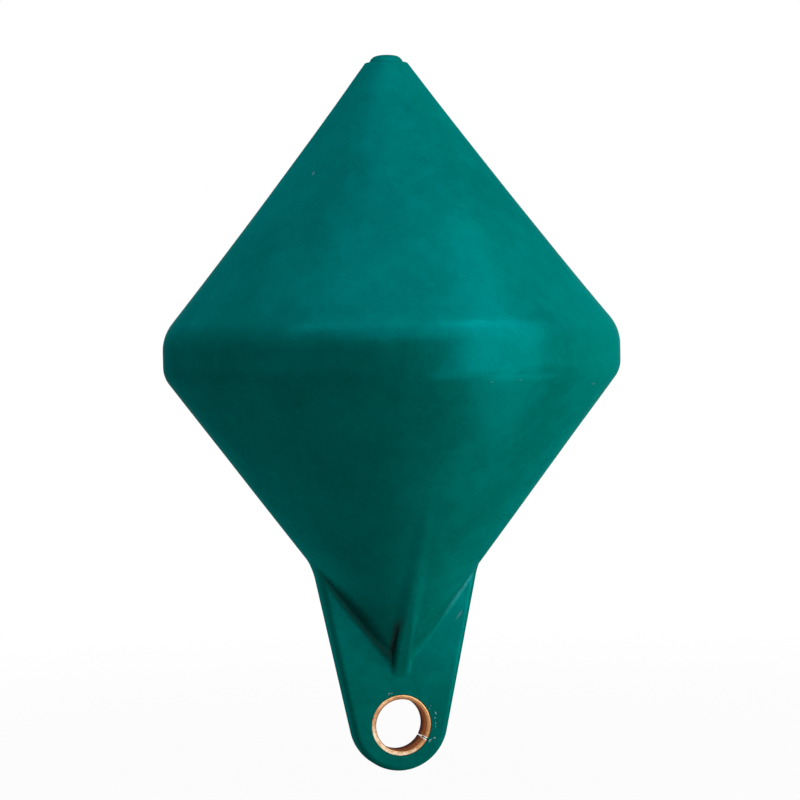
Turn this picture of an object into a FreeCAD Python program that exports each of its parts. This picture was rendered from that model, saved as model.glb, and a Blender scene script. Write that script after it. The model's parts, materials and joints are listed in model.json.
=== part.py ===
"""Biconical foam-filled marker buoy, moulded in polyethylene, with a mooring lug at its foot.

Frame: millimetres, +Z up. The origin lies on the buoy's axis at its moored waterline, which is
the lower corner of the girth band. The lug plate stands in the XZ plane, so the mooring eye's
axis runs along Y.

Three pieces are made: the moulded float, the filler plug in its crown, and the wrapped metal
bush that is pressed into the eye.
"""
import FreeCAD, Part
import math
import os

import Sketcher

os.makedirs("parts", exist_ok=True)
doc = FreeCAD.newDocument("marker_buoy")
V = FreeCAD.Vector

# --------------------------------------------------------------------------------------------
# Driving dimensions (millimetres and degrees)
# --------------------------------------------------------------------------------------------
DIMENSIONS = [
    # The two cones and the band between them
    ("girth_radius", 200.0),
    ("band_height", 35.5),
    ("upper_cone_height", 235.0),
    ("upper_cone_hollow", 1.6),
    ("lower_cone_height", 265.5),
    ("upper_corner_radius", 39.0),
    ("lower_corner_radius", 25.0),
    # The crown, with the filler hole in it
    ("crown_radius", 18.5),
    ("crown_edge_radius", 1.2),
    ("filler_depth", 26.0),
    # The filler plug
    ("plug_shank_radius", 11.0),
    ("plug_shank_length", 22.0),
    ("plug_clearance", 0.1),
    ("plug_head_radius", 14.9),
    ("plug_head_height", 7.0),
    ("plug_dome_radius", 42.0),
    ("plug_shoulder_radius", 8.4),
    # The mooring lug
    ("lug_drop", 306.0),
    ("lug_end_radius", 43.0),
    ("lug_flank_angle", 12.1),
    ("lug_thickness", 22.0),
    ("lug_edge_radius", 5.0),
    ("lug_blend_radius", 60.0),
    ("lug_blend_inset", 0.8),
    # The rib that crosses the lug and stiffens it
    ("rib_thickness", 15.0),
    ("rib_angle", 34.0),
    ("rib_foot_drop", 263.0),
    ("rib_top_drop", 120.0),
    ("rib_edge_radius", 3.0),
    # The eye and its bush
    ("eye_drop", 308.5),
    ("bush_bore_radius", 22.6),
    ("bush_wall", 4.4),
    ("bush_stand_out", 0.4),
    ("bush_rim_radius", 1.4),
    ("bush_seat_clearance", 0.05),
    ("bush_seam_gap", 0.9),
    ("bush_seam_angle", 30.0),
]

sheet = doc.addObject("Spreadsheet::Sheet", "sizes")
for row, (name, value) in enumerate(DIMENSIONS, start=1):
    sheet.set(f"A{row}", name)
    sheet.set(f"B{row}", str(value))
    sheet.setAlias(f"B{row}", name)
doc.recompute()


def size(name):
    """A driving dimension's value, read from the sheet."""
    return float(sheet.get(name))


# --------------------------------------------------------------------------------------------
# Helpers
# --------------------------------------------------------------------------------------------
# A sketch's own axes, and the place of an arc's centre, as its constraints number them
H_AXIS = -1
V_AXIS = -2
CENTRE = 3


def new_body(label):
    body = doc.addObject("PartDesign::Body", label)
    body.Label = label
    body.Placement = FreeCAD.Placement()
    return body


def new_sketch(body, name, plane):
    """A sketch on one of the body's own origin planes."""
    sketch = body.newObject("Sketcher::SketchObject", name)
    feature = next(f for f in body.Origin.OriginFeatures if f.Role == plane)
    sketch.AttachmentSupport = [(feature, "")]
    sketch.MapMode = "FlatFace"
    return sketch


def draw(sketch, edges):
    """Add edges to the sketch: a pair of points is a line, and three points are an arc. A sketch
    keeps its arcs counter-clockwise, so one that is given clockwise is turned round."""
    ids = []
    for points in edges:
        vectors = [V(x, y, 0) for x, y in points]
        if len(vectors) == 2:
            curve = Part.LineSegment(*vectors)
        else:
            start, middle, finish = vectors
            if (middle - start).cross(finish - middle).z < 0:
                start, finish = finish, start
            curve = Part.Arc(start, middle, finish)
        ids.append(sketch.addGeometry(curve, False))
    return ids


def draw_bow(sketch, start, pole, finish):
    """Add a shallow curve from start to finish that is pulled towards the pole, and return it
    with the circle that marks its pole."""
    bow = Part.BSplineCurve()
    bow.buildFromPolesMultsKnots([V(*p, 0) for p in (start, pole, finish)], [3, 3], [0, 1], False, 2)
    curve = sketch.addGeometry(bow, False)
    sketch.exposeInternalGeometry(curve)
    return curve, curve + 2


def end_of(sketch, edge, point):
    """1 or 2: which end of the sketch edge lies at the point. An arc may run backwards."""
    start = sketch.getPoint(edge, 1)
    finish = sketch.getPoint(edge, 2)
    target = V(point[0], point[1], 0)
    return 1 if start.distanceToPoint(target) < finish.distanceToPoint(target) else 2


def join(sketch, first, second, point, tangent=False):
    kind = "Tangent" if tangent else "Coincident"
    ends = (first, end_of(sketch, first, point), second, end_of(sketch, second, point))
    sketch.addConstraint(Sketcher.Constraint(kind, *ends))


def drive(sketch, name, expression, kind, *where):
    """Add a dimension to the sketch and bind it to an expression on the sheet."""
    index = sketch.addConstraint(Sketcher.Constraint(kind, *where))
    sketch.renameConstraint(index, name)
    sketch.setExpression(f"Constraints.{name}", expression)


def place(sketch, edge, point, name, across=None, along=None):
    """Fix an edge's end at the point by its distances from the sketch's two axes. A distance
    that isn't given is nothing: the point lies on that axis."""
    end = end_of(sketch, edge, point)
    if across is None:
        sketch.addConstraint(Sketcher.Constraint("PointOnObject", edge, end, V_AXIS))
    else:
        drive(sketch, f"{name}_across", across, "DistanceX", H_AXIS, 1, edge, end, point[0])
    if along is None:
        sketch.addConstraint(Sketcher.Constraint("PointOnObject", edge, end, H_AXIS))
    else:
        drive(sketch, f"{name}_along", along, "DistanceY", H_AXIS, 1, edge, end, point[1])


def pad(body, sketch, name, expression):
    """A pad that grows to both sides of its sketch."""
    feature = body.newObject("PartDesign::Pad", name)
    feature.Profile = sketch
    feature.SideType = "Symmetric"
    feature.setExpression("Length", expression)
    doc.recompute()
    return feature


def revolve(body, sketch, name):
    """A full turn about the sketch's vertical axis."""
    feature = body.newObject("PartDesign::Revolution", name)
    feature.Profile = sketch
    feature.ReferenceAxis = (sketch, ["V_Axis"])
    feature.Angle = 360
    doc.recompute()
    return feature


def pocket(body, sketch, name):
    """A cut right through, to both sides of its sketch. It has to remove something."""
    before = body.Shape.Volume
    feature = body.newObject("PartDesign::Pocket", name)
    feature.Profile = sketch
    feature.SideType = "Symmetric"
    feature.Type = "ThroughAll"
    doc.recompute()
    if body.Shape.Volume >= before:
        raise RuntimeError(f"{name} removes nothing")
    return feature


def fillet(body, base, name, chosen, expression):
    """Round the edges of the base feature that the chosen test picks."""
    names = [f"Edge{i}" for i, e in enumerate(base.Shape.Edges, start=1) if chosen(e)]
    if not names:
        raise RuntimeError(f"{name} finds no edge")
    feature = body.newObject("PartDesign::Fillet", name)
    feature.Base = (base, names)
    feature.setExpression("Radius", expression)
    doc.recompute()
    return feature


def midpoint(edge):
    return edge.valueAt((edge.FirstParameter + edge.LastParameter) / 2)


def is_circle(edge, radius, level):
    """Whether the edge is part of a level circle about the axis, of this radius and height."""
    if edge.Degenerated or not isinstance(edge.Curve, Part.Circle):
        return False
    curve = edge.Curve
    return (abs(curve.Axis.z) > 0.99 and abs(curve.Radius - radius) < 0.01
            and abs(curve.Center.z - level) < 0.01)


# --------------------------------------------------------------------------------------------
# The float: mooring lug, cross rib, and the two cones with their band
# --------------------------------------------------------------------------------------------
def mirrored(point):
    return (-point[0], point[1])


def lug_points():
    """Half of the lug's outline in the XZ plane: where the end round meets the flank, then the
    start, middle and end of the hollow blend that runs from the flank to a line just inside
    the lower cone's side."""
    flank = math.radians(size("lug_flank_angle"))
    cone = math.atan(size("girth_radius") / size("lower_cone_height"))
    end = size("lug_end_radius")
    blend = size("lug_blend_radius")
    low = (end * math.cos(flank), -size("lug_drop") - end * math.sin(flank))
    above_apex = low[1] + size("lower_cone_height") - size("lug_blend_inset")
    rise = (low[0] - above_apex * math.tan(cone)) / (math.tan(cone) - math.tan(flank))
    corner = (low[0] + rise * math.tan(flank), low[1] + rise)
    reach = blend * math.tan((cone - flank) / 2)
    high = (corner[0] - reach * math.sin(flank), corner[1] - reach * math.cos(flank))
    top = (corner[0] + reach * math.sin(cone), corner[1] + reach * math.cos(cone))
    hub = (high[0] + blend * math.cos(flank), high[1] - blend * math.sin(flank))
    half = (cone + flank) / 2
    middle = (hub[0] - blend * math.cos(half), hub[1] + blend * math.sin(half))
    return low, high, middle, top


def lug_plate(body):
    """The tapered plate of the lug, drawn up into the cone, with its edges rounded."""
    low, high, middle, top = lug_points()
    bottom = (0.0, -size("lug_drop") - size("lug_end_radius"))
    sketch = new_sketch(body, "lug_outline", "XZ_Plane")
    round_end, right, right_blend, head, left_blend, left = draw(sketch, [
        (mirrored(low), bottom, low),
        (low, high),
        (high, middle, top),
        (top, mirrored(top)),
        (mirrored(top), mirrored(middle), mirrored(high)),
        (mirrored(high), mirrored(low)),
    ])
    apex = (0.0, size("lug_blend_inset") - size("lower_cone_height"))
    corner = (-apex[1] * size("girth_radius") / size("lower_cone_height"), 0.0)
    cone = sketch.addGeometry(Part.LineSegment(V(*apex, 0), V(*corner, 0)), True)
    place(sketch, cone, apex, "apex", along="sizes.lug_blend_inset - sizes.lower_cone_height")
    place(sketch, cone, corner, "corner", across="sizes.girth_radius"
          " * (1 - sizes.lug_blend_inset / sizes.lower_cone_height)")
    join(sketch, round_end, right, low, tangent=True)
    join(sketch, right, right_blend, high, tangent=True)
    join(sketch, right_blend, head, top)
    join(sketch, head, left_blend, mirrored(top))
    join(sketch, left_blend, left, mirrored(high), tangent=True)
    join(sketch, left, round_end, mirrored(low), tangent=True)
    blend_top = end_of(sketch, right_blend, top)
    sketch.addConstraint([
        Sketcher.Constraint("PointOnObject", round_end, CENTRE, V_AXIS),
        Sketcher.Constraint("Tangent", right_blend, blend_top, cone),
        Sketcher.Constraint("Symmetric", head, 1, head, 2, V_AXIS),
        Sketcher.Constraint("Symmetric", right, end_of(sketch, right, high), left,
                            end_of(sketch, left, mirrored(high)), V_AXIS),
    ])
    drive(sketch, "drop", "-sizes.lug_drop", "DistanceY", H_AXIS, 1, round_end, CENTRE,
          -size("lug_drop"))
    drive(sketch, "end_radius", "sizes.lug_end_radius", "Radius", round_end,
          size("lug_end_radius"))
    drive(sketch, "blend_radius", "sizes.lug_blend_radius", "Radius", right_blend,
          size("lug_blend_radius"))
    drive(sketch, "flank", "(90 - sizes.lug_flank_angle) * 1 deg", "Angle", right,
          math.radians(90 - size("lug_flank_angle")))
    plate = pad(body, sketch, "lug_plate", "sizes.lug_thickness")

    def is_rim(edge):
        point = midpoint(edge)
        on_face = abs(abs(point.y) - size("lug_thickness") / 2) < 0.01
        below_head = point.z < top[1] - 0.01
        off_rib = abs(point.x) > size("rib_thickness") or point.z < -size("lug_drop")
        return on_face and below_head and off_rib

    return fillet(body, plate, "lug_edges", is_rim, "sizes.lug_edge_radius")


def cross_rib(body):
    """The rib across the lug: a wedge in the YZ plane whose foot dies out on the plate and
    whose top runs up inside the cone."""
    slope = math.tan(math.radians(size("rib_angle")))
    half = size("lug_thickness") / 2
    tip = (0.0, -size("rib_foot_drop") - half / slope)
    top = ((size("rib_foot_drop") - size("rib_top_drop")) * slope + half, -size("rib_top_drop"))
    sketch = new_sketch(body, "rib_outline", "YZ_Plane")
    front, head, back = draw(sketch, [(tip, top), (top, mirrored(top)), (mirrored(top), tip)])
    join(sketch, front, head, top)
    join(sketch, head, back, mirrored(top))
    join(sketch, back, front, tip)
    place(sketch, front, tip, "tip", along="-sizes.rib_foot_drop"
          " - sizes.lug_thickness / 2 / tan(sizes.rib_angle * 1 deg)")
    sketch.addConstraint(Sketcher.Constraint("Symmetric", head, 1, head, 2, V_AXIS))
    drive(sketch, "top_drop", "-sizes.rib_top_drop", "DistanceY", H_AXIS, 1, front,
          end_of(sketch, front, top), -size("rib_top_drop"))
    drive(sketch, "slope", "(90 - sizes.rib_angle) * 1 deg", "Angle", front,
          math.radians(90 - size("rib_angle")))
    wedge = pad(body, sketch, "cross_rib", "sizes.rib_thickness")
    return fillet(body, wedge, "rib_edges", lambda e: midpoint(e).z < top[1] - 0.01,
                  "sizes.rib_edge_radius")


def cones(body):
    """The two cones with the band between them, turned about the axis as one half section.
    The upper cone's side is slightly hollow, and the crown has the filler hole."""
    girth = size("girth_radius")
    crown_level = size("band_height") + size("upper_cone_height")
    hole = size("plug_shank_radius") + size("plug_clearance")
    apex = (0.0, -size("lower_cone_height"))
    low_corner = (girth, 0.0)
    high_corner = (girth, size("band_height"))
    crown = (size("crown_radius"), crown_level)
    mouth = (hole, crown_level)
    hole_foot = (hole, crown_level - size("filler_depth"))
    hole_centre = (0.0, crown_level - size("filler_depth"))
    # The side's pole lies twice as deep as its hollow, square to the chord
    run = girth - crown[0]
    rise = size("upper_cone_height")
    pull = 2 * size("upper_cone_hollow") / math.hypot(run, rise)
    pole = ((girth + crown[0]) / 2 - pull * rise, high_corner[1] + rise / 2 - pull * run)
    sketch = new_sketch(body, "half_section", "XZ_Plane")
    lower, band, rim, wall, floor, axis = draw(sketch, [
        (apex, low_corner),
        (low_corner, high_corner),
        (crown, mouth),
        (mouth, hole_foot),
        (hole_foot, hole_centre),
        (hole_centre, apex),
    ])
    upper, pole_mark = draw_bow(sketch, high_corner, pole, crown)
    join(sketch, lower, band, low_corner)
    join(sketch, band, upper, high_corner)
    join(sketch, upper, rim, crown)
    join(sketch, rim, wall, mouth)
    join(sketch, wall, floor, hole_foot)
    join(sketch, floor, axis, hole_centre)
    join(sketch, axis, lower, apex)
    place(sketch, lower, apex, "apex", along="-sizes.lower_cone_height")
    place(sketch, band, low_corner, "low_corner", across="sizes.girth_radius")
    place(sketch, band, high_corner, "high_corner", "sizes.girth_radius", "sizes.band_height")
    place(sketch, rim, crown, "crown", "sizes.crown_radius",
          "sizes.band_height + sizes.upper_cone_height")
    place(sketch, rim, mouth, "mouth", "sizes.plug_shank_radius + sizes.plug_clearance",
          "sizes.band_height + sizes.upper_cone_height")
    place(sketch, floor, hole_foot, "hole_foot",
          "sizes.plug_shank_radius + sizes.plug_clearance",
          "sizes.band_height + sizes.upper_cone_height - sizes.filler_depth")
    sketch.addConstraint([
        Sketcher.Constraint("Horizontal", floor),
        Sketcher.Constraint("PointOnObject", axis, 1, V_AXIS),
    ])
    chord = "hypot(sizes.girth_radius - sizes.crown_radius; sizes.upper_cone_height)"
    drive(sketch, "pole_across", "(sizes.girth_radius + sizes.crown_radius) / 2"
          f" - 2 * sizes.upper_cone_hollow * sizes.upper_cone_height / {chord}",
          "DistanceX", H_AXIS, 1, pole_mark, CENTRE, pole[0])
    drive(sketch, "pole_along", "sizes.band_height + sizes.upper_cone_height / 2"
          f" - 2 * sizes.upper_cone_hollow * (sizes.girth_radius - sizes.crown_radius) / {chord}",
          "DistanceY", H_AXIS, 1, pole_mark, CENTRE, pole[1])
    turned = revolve(body, sketch, "cones")
    soft = fillet(body, turned, "upper_corner", lambda e: is_circle(e, girth, high_corner[1]),
                  "sizes.upper_corner_radius")
    soft = fillet(body, soft, "lower_corner", lambda e: is_circle(e, girth, 0.0),
                  "sizes.lower_corner_radius")
    return fillet(body, soft, "crown_edge", lambda e: is_circle(e, crown[0], crown_level),
                  "sizes.crown_edge_radius")


def eye(body):
    """The mooring eye: a round hole through the lug, along Y, that the bush is pressed into."""
    seat = size("bush_bore_radius") + size("bush_wall") + size("bush_seat_clearance")
    sketch = new_sketch(body, "eye_outline", "XZ_Plane")
    circle = sketch.addGeometry(Part.Circle(V(0, -size("eye_drop"), 0), V(0, 0, 1), seat))
    sketch.addConstraint(Sketcher.Constraint("PointOnObject", circle, CENTRE, V_AXIS))
    drive(sketch, "drop", "-sizes.eye_drop", "DistanceY", H_AXIS, 1, circle, CENTRE,
          -size("eye_drop"))
    drive(sketch, "radius", "sizes.bush_bore_radius + sizes.bush_wall"
          " + sizes.bush_seat_clearance", "Radius", circle, seat)
    return pocket(body, sketch, "eye")


def make_float():
    body = new_body("float_body")
    cross_rib(body)
    lug_plate(body)
    cones(body)
    eye(body)
    return body


# --------------------------------------------------------------------------------------------
# The filler plug, seated on the crown
# --------------------------------------------------------------------------------------------
def make_plug():
    """A domed head on a plain shank, turned about the axis. It is drawn from its own seat. The
    head's shoulder is an arc that runs from its rim into the dome."""
    shank = size("plug_shank_radius")
    head = size("plug_head_radius")
    height = size("plug_head_height")
    dome = size("plug_dome_radius")
    shoulder = size("plug_shoulder_radius")
    foot = -size("plug_shank_length")
    hub = (0.0, height - dome)
    # The shoulder's centre is one radius from the rim and a dome less a shoulder from the hub
    span = math.hypot(head, hub[1])
    along = (span ** 2 + (dome - shoulder) ** 2 - shoulder ** 2) / (2 * span)
    off = math.sqrt((dome - shoulder) ** 2 - along ** 2)
    toward = (head / span, -hub[1] / span)
    centre = (toward[0] * along - toward[1] * off, hub[1] + toward[1] * along + toward[0] * off)
    lean = math.atan2(centre[0], centre[1] - hub[1])
    fall = math.atan2(head - centre[0], -centre[1])
    points = {
        "top": (0.0, height),
        "crest": (dome * math.sin(lean / 2), hub[1] + dome * math.cos(lean / 2)),
        "turn": (dome * math.sin(lean), hub[1] + dome * math.cos(lean)),
        "bulge": (centre[0] + shoulder * math.sin((lean + fall) / 2),
                  centre[1] + shoulder * math.cos((lean + fall) / 2)),
        "rim": (head, 0.0),
        "neck": (shank, 0.0),
        "shank": (shank, foot),
        "foot": (0.0, foot),
    }
    body = new_body("filler_plug")
    sketch = new_sketch(body, "plug_section", "XZ_Plane")
    arc, side, under, wall, base, axis = draw(sketch, [
        (points["top"], points["crest"], points["turn"]),
        (points["turn"], points["bulge"], points["rim"]),
        (points["rim"], points["neck"]),
        (points["neck"], points["shank"]),
        (points["shank"], points["foot"]),
        (points["foot"], points["top"]),
    ])
    join(sketch, arc, side, points["turn"], tangent=True)
    join(sketch, side, under, points["rim"])
    join(sketch, under, wall, points["neck"])
    join(sketch, wall, base, points["shank"])
    join(sketch, base, axis, points["foot"])
    join(sketch, axis, arc, points["top"])
    place(sketch, axis, points["top"], "top", along="sizes.plug_head_height")
    sketch.addConstraint(Sketcher.Constraint("PointOnObject", arc, CENTRE, V_AXIS))
    drive(sketch, "dome", "sizes.plug_dome_radius", "Radius", arc, dome)
    drive(sketch, "shoulder", "sizes.plug_shoulder_radius", "Radius", side, shoulder)
    place(sketch, under, points["rim"], "rim", across="sizes.plug_head_radius")
    place(sketch, under, points["neck"], "neck", across="sizes.plug_shank_radius")
    place(sketch, wall, points["shank"], "shank", "sizes.plug_shank_radius",
          "-sizes.plug_shank_length")
    place(sketch, base, points["foot"], "foot", along="-sizes.plug_shank_length")
    revolve(body, sketch, "plug")
    body.setExpression("Placement.Base.z", "sizes.band_height + sizes.upper_cone_height")
    return body


# --------------------------------------------------------------------------------------------
# The bush in the mooring eye: a strip of metal wrapped into a ring
# --------------------------------------------------------------------------------------------
def make_bush():
    bore = size("bush_bore_radius")
    outer = bore + size("bush_wall")
    body = new_body("eye_bush")
    sketch = new_sketch(body, "ring", "XZ_Plane")
    for name, radius, expression in (("bore", bore, "sizes.bush_bore_radius"),
                                     ("outer", outer, "sizes.bush_bore_radius + sizes.bush_wall")):
        circle = sketch.addGeometry(Part.Circle(V(0, 0, 0), V(0, 0, 1), radius))
        sketch.addConstraint(Sketcher.Constraint("Coincident", circle, CENTRE, H_AXIS, 1))
        drive(sketch, name, expression, "Radius", circle, radius)
    ring = pad(body, sketch, "ring_pad", "sizes.lug_thickness + 2 * sizes.bush_stand_out")
    rims = fillet(body, ring, "rims", lambda e: isinstance(e.Curve, Part.Circle),
                  "sizes.bush_rim_radius")
    # The strip's two ends meet at a seam, which leaves a narrow slot along the bush
    gap = size("bush_seam_gap")
    slot = new_sketch(body, "seam_outline", "XZ_Plane")
    inner, tall = bore / 2, gap / 2
    reach = outer + bore / 2
    corners = [(inner, -tall), (reach, -tall), (reach, tall), (inner, tall)]
    bottom, right, top, left = draw(slot, list(zip(corners, corners[1:] + corners[:1])))
    join(slot, bottom, right, corners[1])
    join(slot, right, top, corners[2])
    join(slot, top, left, corners[3])
    join(slot, left, bottom, corners[0])
    slot.addConstraint([
        Sketcher.Constraint("Horizontal", bottom),
        Sketcher.Constraint("Symmetric", right, 1, right, 2, H_AXIS),
        Sketcher.Constraint("Symmetric", left, 1, left, 2, H_AXIS),
    ])
    drive(slot, "gap", "sizes.bush_seam_gap", "DistanceY", right, end_of(slot, right, corners[1]),
          right, end_of(slot, right, corners[2]), gap)
    drive(slot, "inner", "sizes.bush_bore_radius / 2", "DistanceX", H_AXIS, 1, left,
          end_of(slot, left, corners[0]), inner)
    drive(slot, "reach", "1.5 * sizes.bush_bore_radius + sizes.bush_wall", "DistanceX", H_AXIS, 1,
          right, end_of(slot, right, corners[1]), reach)
    pocket(body, slot, "seam")
    # Turn the seam round the eye's axis, then lift the bush to the eye
    body.Placement = FreeCAD.Placement(V(0, 0, 0), FreeCAD.Rotation(V(0, 1, 0), 0))
    body.setExpression("Placement.Rotation.Angle", "sizes.bush_seam_angle * 1 deg")
    body.setExpression("Placement.Base.z", "-sizes.eye_drop")
    return body


# --------------------------------------------------------------------------------------------
# Build, check and write
# --------------------------------------------------------------------------------------------
bodies = [make_float(), make_plug(), make_bush()]
doc.recompute()

for item in doc.Objects:
    if {"Invalid", "Error"} & set(item.State):
        raise RuntimeError(f"{item.Label} failed: {item.State}")
for item in doc.findObjects("Sketcher::SketchObject"):
    if not item.FullyConstrained:
        raise RuntimeError(f"{item.Label} isn't fully constrained")
for body in bodies:
    shape = body.Shape
    if shape.isNull() or not shape.isValid() or len(shape.Solids) != 1:
        raise RuntimeError(f"{body.Label} isn't one valid solid")
    if body.Label != body.Name:
        raise RuntimeError(f"{body.Label} has a second name, {body.Name}")
    shape.exportStep(f"parts/{body.Label}.step")
    box = shape.BoundBox
    print(f"{body.Label}: {shape.Volume / 1000:.1f} cm3, "
          f"x {box.XMin:.1f} to {box.XMax:.1f}, y {box.YMin:.1f} to {box.YMax:.1f}, "
          f"z {box.ZMin:.1f} to {box.ZMax:.1f}")
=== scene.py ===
"""Studio scene for a small moulded marker buoy with a bushed mooring lug."""

import json
import math

import bpy
import numpy as np
from mathutils import Matrix, Vector


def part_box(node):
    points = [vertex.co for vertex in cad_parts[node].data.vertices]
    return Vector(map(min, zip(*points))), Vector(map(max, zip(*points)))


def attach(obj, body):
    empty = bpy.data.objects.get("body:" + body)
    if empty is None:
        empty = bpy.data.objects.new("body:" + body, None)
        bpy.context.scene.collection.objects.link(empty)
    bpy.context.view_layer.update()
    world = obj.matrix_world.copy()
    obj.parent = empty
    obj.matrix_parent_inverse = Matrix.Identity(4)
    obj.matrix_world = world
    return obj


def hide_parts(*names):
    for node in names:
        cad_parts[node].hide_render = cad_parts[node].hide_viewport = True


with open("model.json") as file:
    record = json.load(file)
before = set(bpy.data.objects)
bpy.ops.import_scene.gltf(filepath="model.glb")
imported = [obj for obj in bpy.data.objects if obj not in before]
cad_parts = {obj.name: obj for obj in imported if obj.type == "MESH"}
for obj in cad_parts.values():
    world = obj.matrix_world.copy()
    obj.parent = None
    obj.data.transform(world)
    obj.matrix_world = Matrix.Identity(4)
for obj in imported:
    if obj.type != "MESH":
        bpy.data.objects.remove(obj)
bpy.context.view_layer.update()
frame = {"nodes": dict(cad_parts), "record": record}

MM = 0.001
scene = bpy.context.scene

# --------------------------------------------------------------------------------------------
# Sizes, in millimetres. What the frame gives is read from it.
# --------------------------------------------------------------------------------------------
float_low, float_high = (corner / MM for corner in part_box("float_body"))
bush_low, bush_high = (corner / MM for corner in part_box("eye_bush"))
mounts = {m["name"]: m for m in frame["record"]["mounts"]}
EYE_Z = mounts["mooring_eye"]["pos_m"][2] / MM

# The float: two cones about Z, base to base, with an upright band from level 0 up between them
GIRTH = 200.0
BAND = 35.5
CROWN_R = 18.5
CROWN_Z = float_high.z
CROWN_EDGE = 1.2
CONE_HOLLOW = 1.6
APEX_Z = -265.5
CONE_ANGLE = math.atan(GIRTH / -APEX_Z)
UPPER_CORNER = 39.0
LOWER_CORNER = 25.0

# The filler hole in the crown
HOLE_R = 11.1
HOLE_DEPTH = 26.0

# The lug: a plate in the XZ plane with a round end, sloping flanks and a blend into the cone
LUG_END = 43.0
LUG_Z = float_low.z + LUG_END
FLANK = math.radians(12.1)
LUG_HALF = 11.0
LUG_EDGE = 5.0
LUG_BLEND = 60.0
LUG_INSET = 0.8

# The rib across the lug. Above its fade it sinks into the cone and its edges are softer.
RIB_HALF = 7.5
RIB_SLOPE = math.radians(34.0)
RIB_FOOT = -263.0
RIB_EDGE = 4.2
RIB_SINK = 1.6
RIB_SOFTER = 3.5
RIB_FADE = (-232.0, -188.0)

# How wide the creases are filled, and how far in from the plate's rim the fill begins
CREASE = 4.5
RIB_CREASE = 2.5
FILL_FROM_RIM = (2.0, 12.0)

# The eye's seat for the bush
SEAT_CLEARANCE = 0.05
SEAT_R = (bush_high.x - bush_low.x) / 2 + SEAT_CLEARANCE


# --------------------------------------------------------------------------------------------
# Shape of the float
# --------------------------------------------------------------------------------------------
UPPER_STEPS = 18
LOWER_STEPS = 12
EDGE_STEPS = 6
BOW_FINE = 400
BOW_ROWS = 46
BAND_ROWS = 6
ROW_GAP = 0.2
DECK_RING = 15.0


def fillet(before, corner, after, radius, steps):
    """Points of the arc that rounds a corner of a polyline."""
    u = (before - corner) / np.linalg.norm(before - corner)
    v = (after - corner) / np.linalg.norm(after - corner)
    half = math.acos(float(np.clip(u @ v, -1, 1))) / 2
    centre = corner + (u + v) / np.linalg.norm(u + v) * radius / math.sin(half)
    first = corner + u * radius / math.tan(half) - centre
    last = corner + v * radius / math.tan(half) - centre
    start = math.atan2(first[1], first[0])
    sweep = (math.atan2(last[1], last[0]) - start + math.pi) % (2 * math.pi) - math.pi
    t = start + sweep * np.linspace(0, 1, steps)
    return centre + radius * np.stack([np.cos(t), np.sin(t)], -1)


def cone_profile():
    """The float's half section, as (radius, level) from the filler hole's floor down to just
    under the lower corner."""
    low = np.array([GIRTH, 0.0])
    high = np.array([GIRTH, BAND])
    crown = np.array([CROWN_R, CROWN_Z])
    run, rise = GIRTH - CROWN_R, CROWN_Z - BAND
    pull = 2 * CONE_HOLLOW / math.hypot(run, rise)
    pole = (high + crown) / 2 - pull * np.array([rise, run])
    t = np.linspace(0, 1, BOW_FINE)[:, None]
    bow = (1 - t) ** 2 * crown + 2 * t * (1 - t) * pole + t ** 2 * high
    upper = fillet(pole, high, low, UPPER_CORNER, UPPER_STEPS)
    lower = fillet(high, low, np.array([0.0, APEX_Z]), LOWER_CORNER, LOWER_STEPS)
    edge = fillet(np.array([HOLE_R, CROWN_Z]), crown, pole, CROWN_EDGE, EDGE_STEPS)
    bow = bow[(bow[:, 0] > edge[-1, 0] + ROW_GAP) & (bow[:, 1] > upper[0, 1] + ROW_GAP)]
    bow = bow[np.linspace(0, len(bow) - 1, BOW_ROWS).astype(int)]
    hole = [(HOLE_R, CROWN_Z - HOLE_DEPTH), (HOLE_R, CROWN_Z - HOLE_DEPTH / 2), (HOLE_R, CROWN_Z)]
    deck = [(DECK_RING, CROWN_Z)]
    band = [(GIRTH, z) for z in np.linspace(upper[-1, 1], lower[0, 1], BAND_ROWS)[1:-1]]
    return np.concatenate([hole, deck, edge, bow, upper, band, lower])


def cone_radius(z):
    return np.maximum((z - APEX_Z) * math.tan(CONE_ANGLE), 0.0)


def lug_corners():
    """The foot of the lug's flank, where its round end starts, and the centre of its blend into
    the cone, as (x, z) on the +X side."""
    foot = (LUG_END * math.cos(FLANK), LUG_Z - LUG_END * math.sin(FLANK))
    gap = foot[1] - APEX_Z - LUG_INSET
    rise = (foot[0] - gap * math.tan(CONE_ANGLE)) / (math.tan(CONE_ANGLE) - math.tan(FLANK))
    corner = (foot[0] + rise * math.tan(FLANK), foot[1] + rise)
    reach = LUG_BLEND * math.tan((CONE_ANGLE - FLANK) / 2)
    top = (corner[0] - reach * math.sin(FLANK), corner[1] - reach * math.cos(FLANK))
    hub = (top[0] + LUG_BLEND * math.cos(FLANK), top[1] - LUG_BLEND * math.sin(FLANK))
    return foot, hub


LUG_LOW, LUG_HUB = lug_corners()


def ease(value, low, high):
    """0 below low, 1 above high, and a smooth rise between them. It falls where low > high."""
    t = np.clip((value - low) / (high - low), 0, 1)
    return t * t * (3 - 2 * t)


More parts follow.
